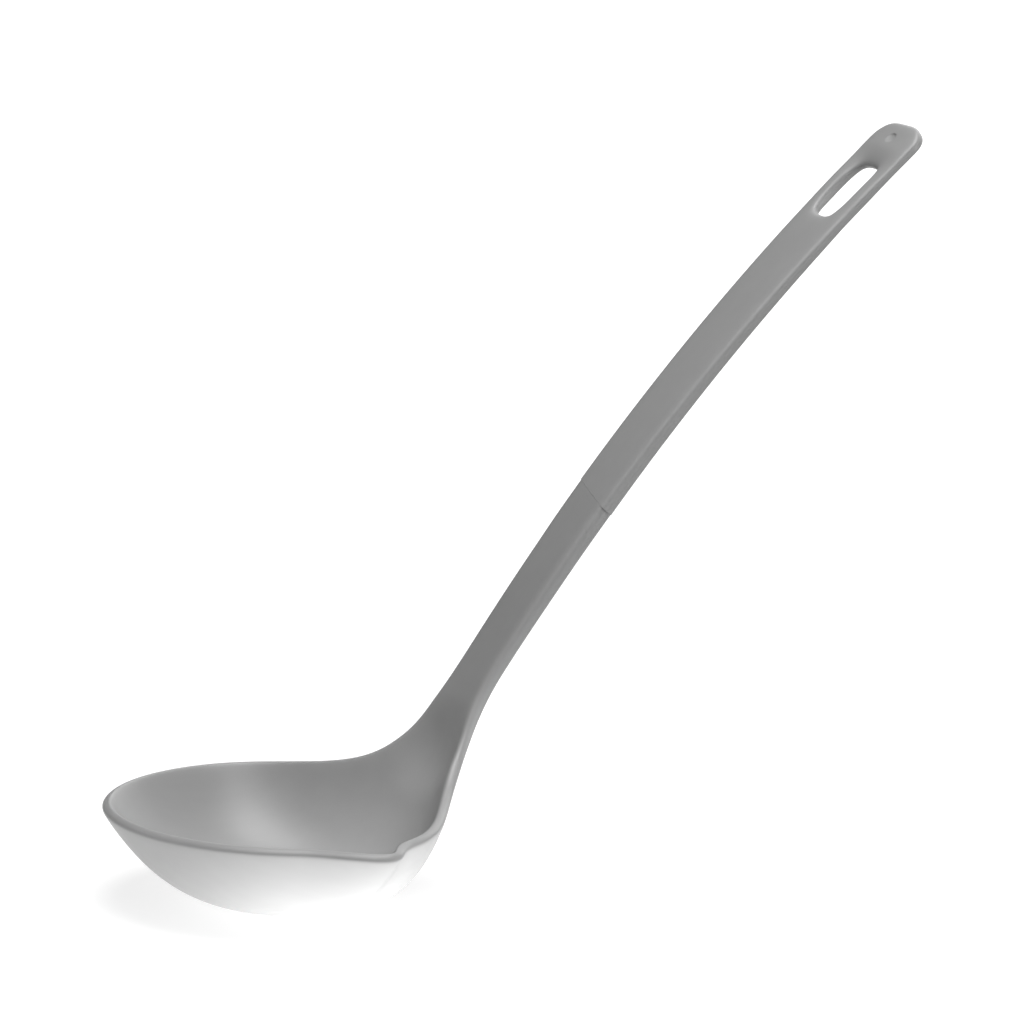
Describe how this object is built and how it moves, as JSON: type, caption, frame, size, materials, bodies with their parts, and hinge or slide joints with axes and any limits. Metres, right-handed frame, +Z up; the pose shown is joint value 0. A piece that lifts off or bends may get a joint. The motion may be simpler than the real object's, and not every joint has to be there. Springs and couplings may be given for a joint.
{
  "type": "spouted ladle",
  "caption": "Round shallow kitchen ladle with a side pouring spout, a curved neck and a long flat bowed handle ending in a hanging slot.",
  "frame": {"origin": "middle of the flat underside of the bowl, which stands on the table", "axes": "+Z up out of the bowl's mouth, +X from the bowl's middle under the handle, -Y out through the spout"},
  "size_m": [0.2322, 0.1063, 0.1925],
  "materials": {
    "head_plastic": "smooth moulded, satin",
    "grip_plastic": "smooth moulded, satin"
  },
  "bodies": {
    "root": {"bowl_and_shank": "head_plastic", "grip_front_shell": "grip_plastic", "grip_back_shell": "grip_plastic"}
  },
  "joints": []
}
